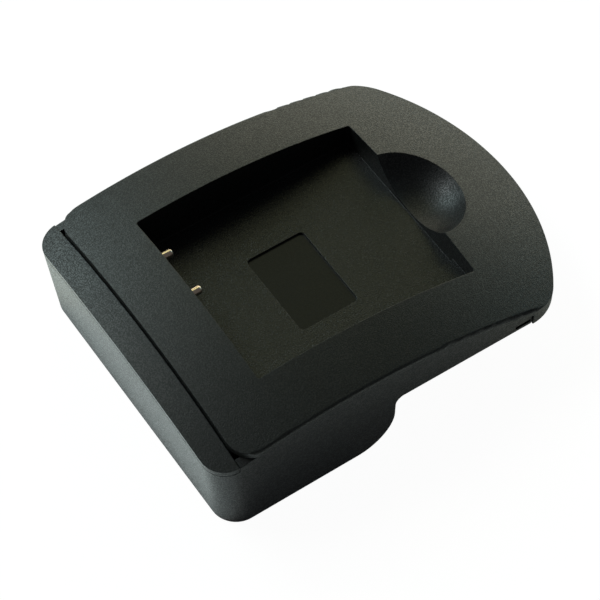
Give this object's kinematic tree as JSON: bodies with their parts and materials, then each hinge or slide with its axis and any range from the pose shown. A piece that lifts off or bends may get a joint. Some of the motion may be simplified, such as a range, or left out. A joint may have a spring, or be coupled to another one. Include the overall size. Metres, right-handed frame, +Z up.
{
  "type": "camera battery charger",
  "caption": "Travel charger base with a fold-out mains plug and a clip-on crowned battery plate that has a pocket, thumb scoop and sprung contact pins.",
  "frame": {"origin": "on the surface that the housing stands on, under the middle of the overall length and width", "axes": "+X from the rear shelf to the nose, +Y to the side with the indicator lamp, +Z up through the crowned plate"},
  "size_m": [0.077, 0.056, 0.0233],
  "materials": {
    "housing_plastic": "fine textured black moulding",
    "cover_plastic": "fine textured black moulding",
    "plate_plastic": "fine textured black moulding, smoother in the scoop and recess",
    "plug_plastic": "satin black",
    "insulator": "plain black",
    "nickel_contact": "bright nickel",
    "spring_brass": "rolled strip",
    "board_green": "solder resist",
    "ferrite": "sintered",
    "former_plastic": "natural nylon",
    "winding_tape": "yellow tape over copper",
    "capacitor_sleeve": "shrunk sleeve",
    "disc_coating": "dipped coating",
    "resistor_body": "painted ceramic",
    "chip_epoxy": "moulded epoxy",
    "lamp_lens": "clear tinted dome",
    "screw_steel": "zinc plated"
  },
  "bodies": {
    "housing": {"lower_shell": "housing_plastic", "upper_cover": "cover_plastic", "base_finger_a": "spring_brass", "base_finger_b": "spring_brass", "main_board": "board_green", "transformer_core": "ferrite", "transformer_bobbin": "former_plastic", "transformer_winding": "winding_tape", "bulk_capacitor_a": "capacitor_sleeve", "bulk_capacitor_b": "capacitor_sleeve", "output_capacitor": "capacitor_sleeve", "safety_capacitor": "disc_coating", "filter_inductor": "ferrite", "bridge_rectifier": "chip_epoxy", "switching_transistor": "chip_epoxy", "control_chip": "chip_epoxy", "fuse_resistor": "resistor_body", "indicator_lamp": "lamp_lens", "plug_contact_a": "spring_brass", "plug_contact_b": "spring_brass", "housing_screws": "screw_steel"},
    "plate": {"battery_plate": "plate_plastic", "contact_block": "insulator", "plate_terminal_a": "spring_brass", "plate_terminal_b": "spring_brass", "pin_spring_a": "nickel_contact", "pin_spring_b": "nickel_contact"},
    "pin_a": {"contact_pin_a": "nickel_contact"},
    "pin_b": {"contact_pin_b": "nickel_contact"},
    "plug": {"plug_carrier": "plug_plastic", "plug_blade_a": "nickel_contact", "plug_blade_b": "nickel_contact"}
  },
  "joints": [
    {"name": "plate_tilt", "type": "hinge", "parent": "housing", "child": "plate", "pos_m": [-0.0338, 0, 0.02093], "axis": [0, -1, 0], "range_deg": [0, 25]},
    {"name": "pin_a_push", "type": "slide", "parent": "plate", "child": "pin_a", "axis": [-1, 0, 0], "range_m": [0, 0.0015], "stiffness_N_per_m": 300, "springref_m": -0.0008, "deforming": ["pin_spring_a"]},
    {"name": "pin_b_push", "type": "slide", "parent": "plate", "child": "pin_b", "axis": [-1, 0, 0], "range_m": [0, 0.0015], "stiffness_N_per_m": 300, "springref_m": -0.0008, "deforming": ["pin_spring_b"]},
    {"name": "plug_fold", "type": "hinge", "parent": "housing", "child": "plug", "pos_m": [-0.02353, 0.008, 0.004], "axis": [1, 0, 0], "range_deg": [0, 90]}
  ]
}
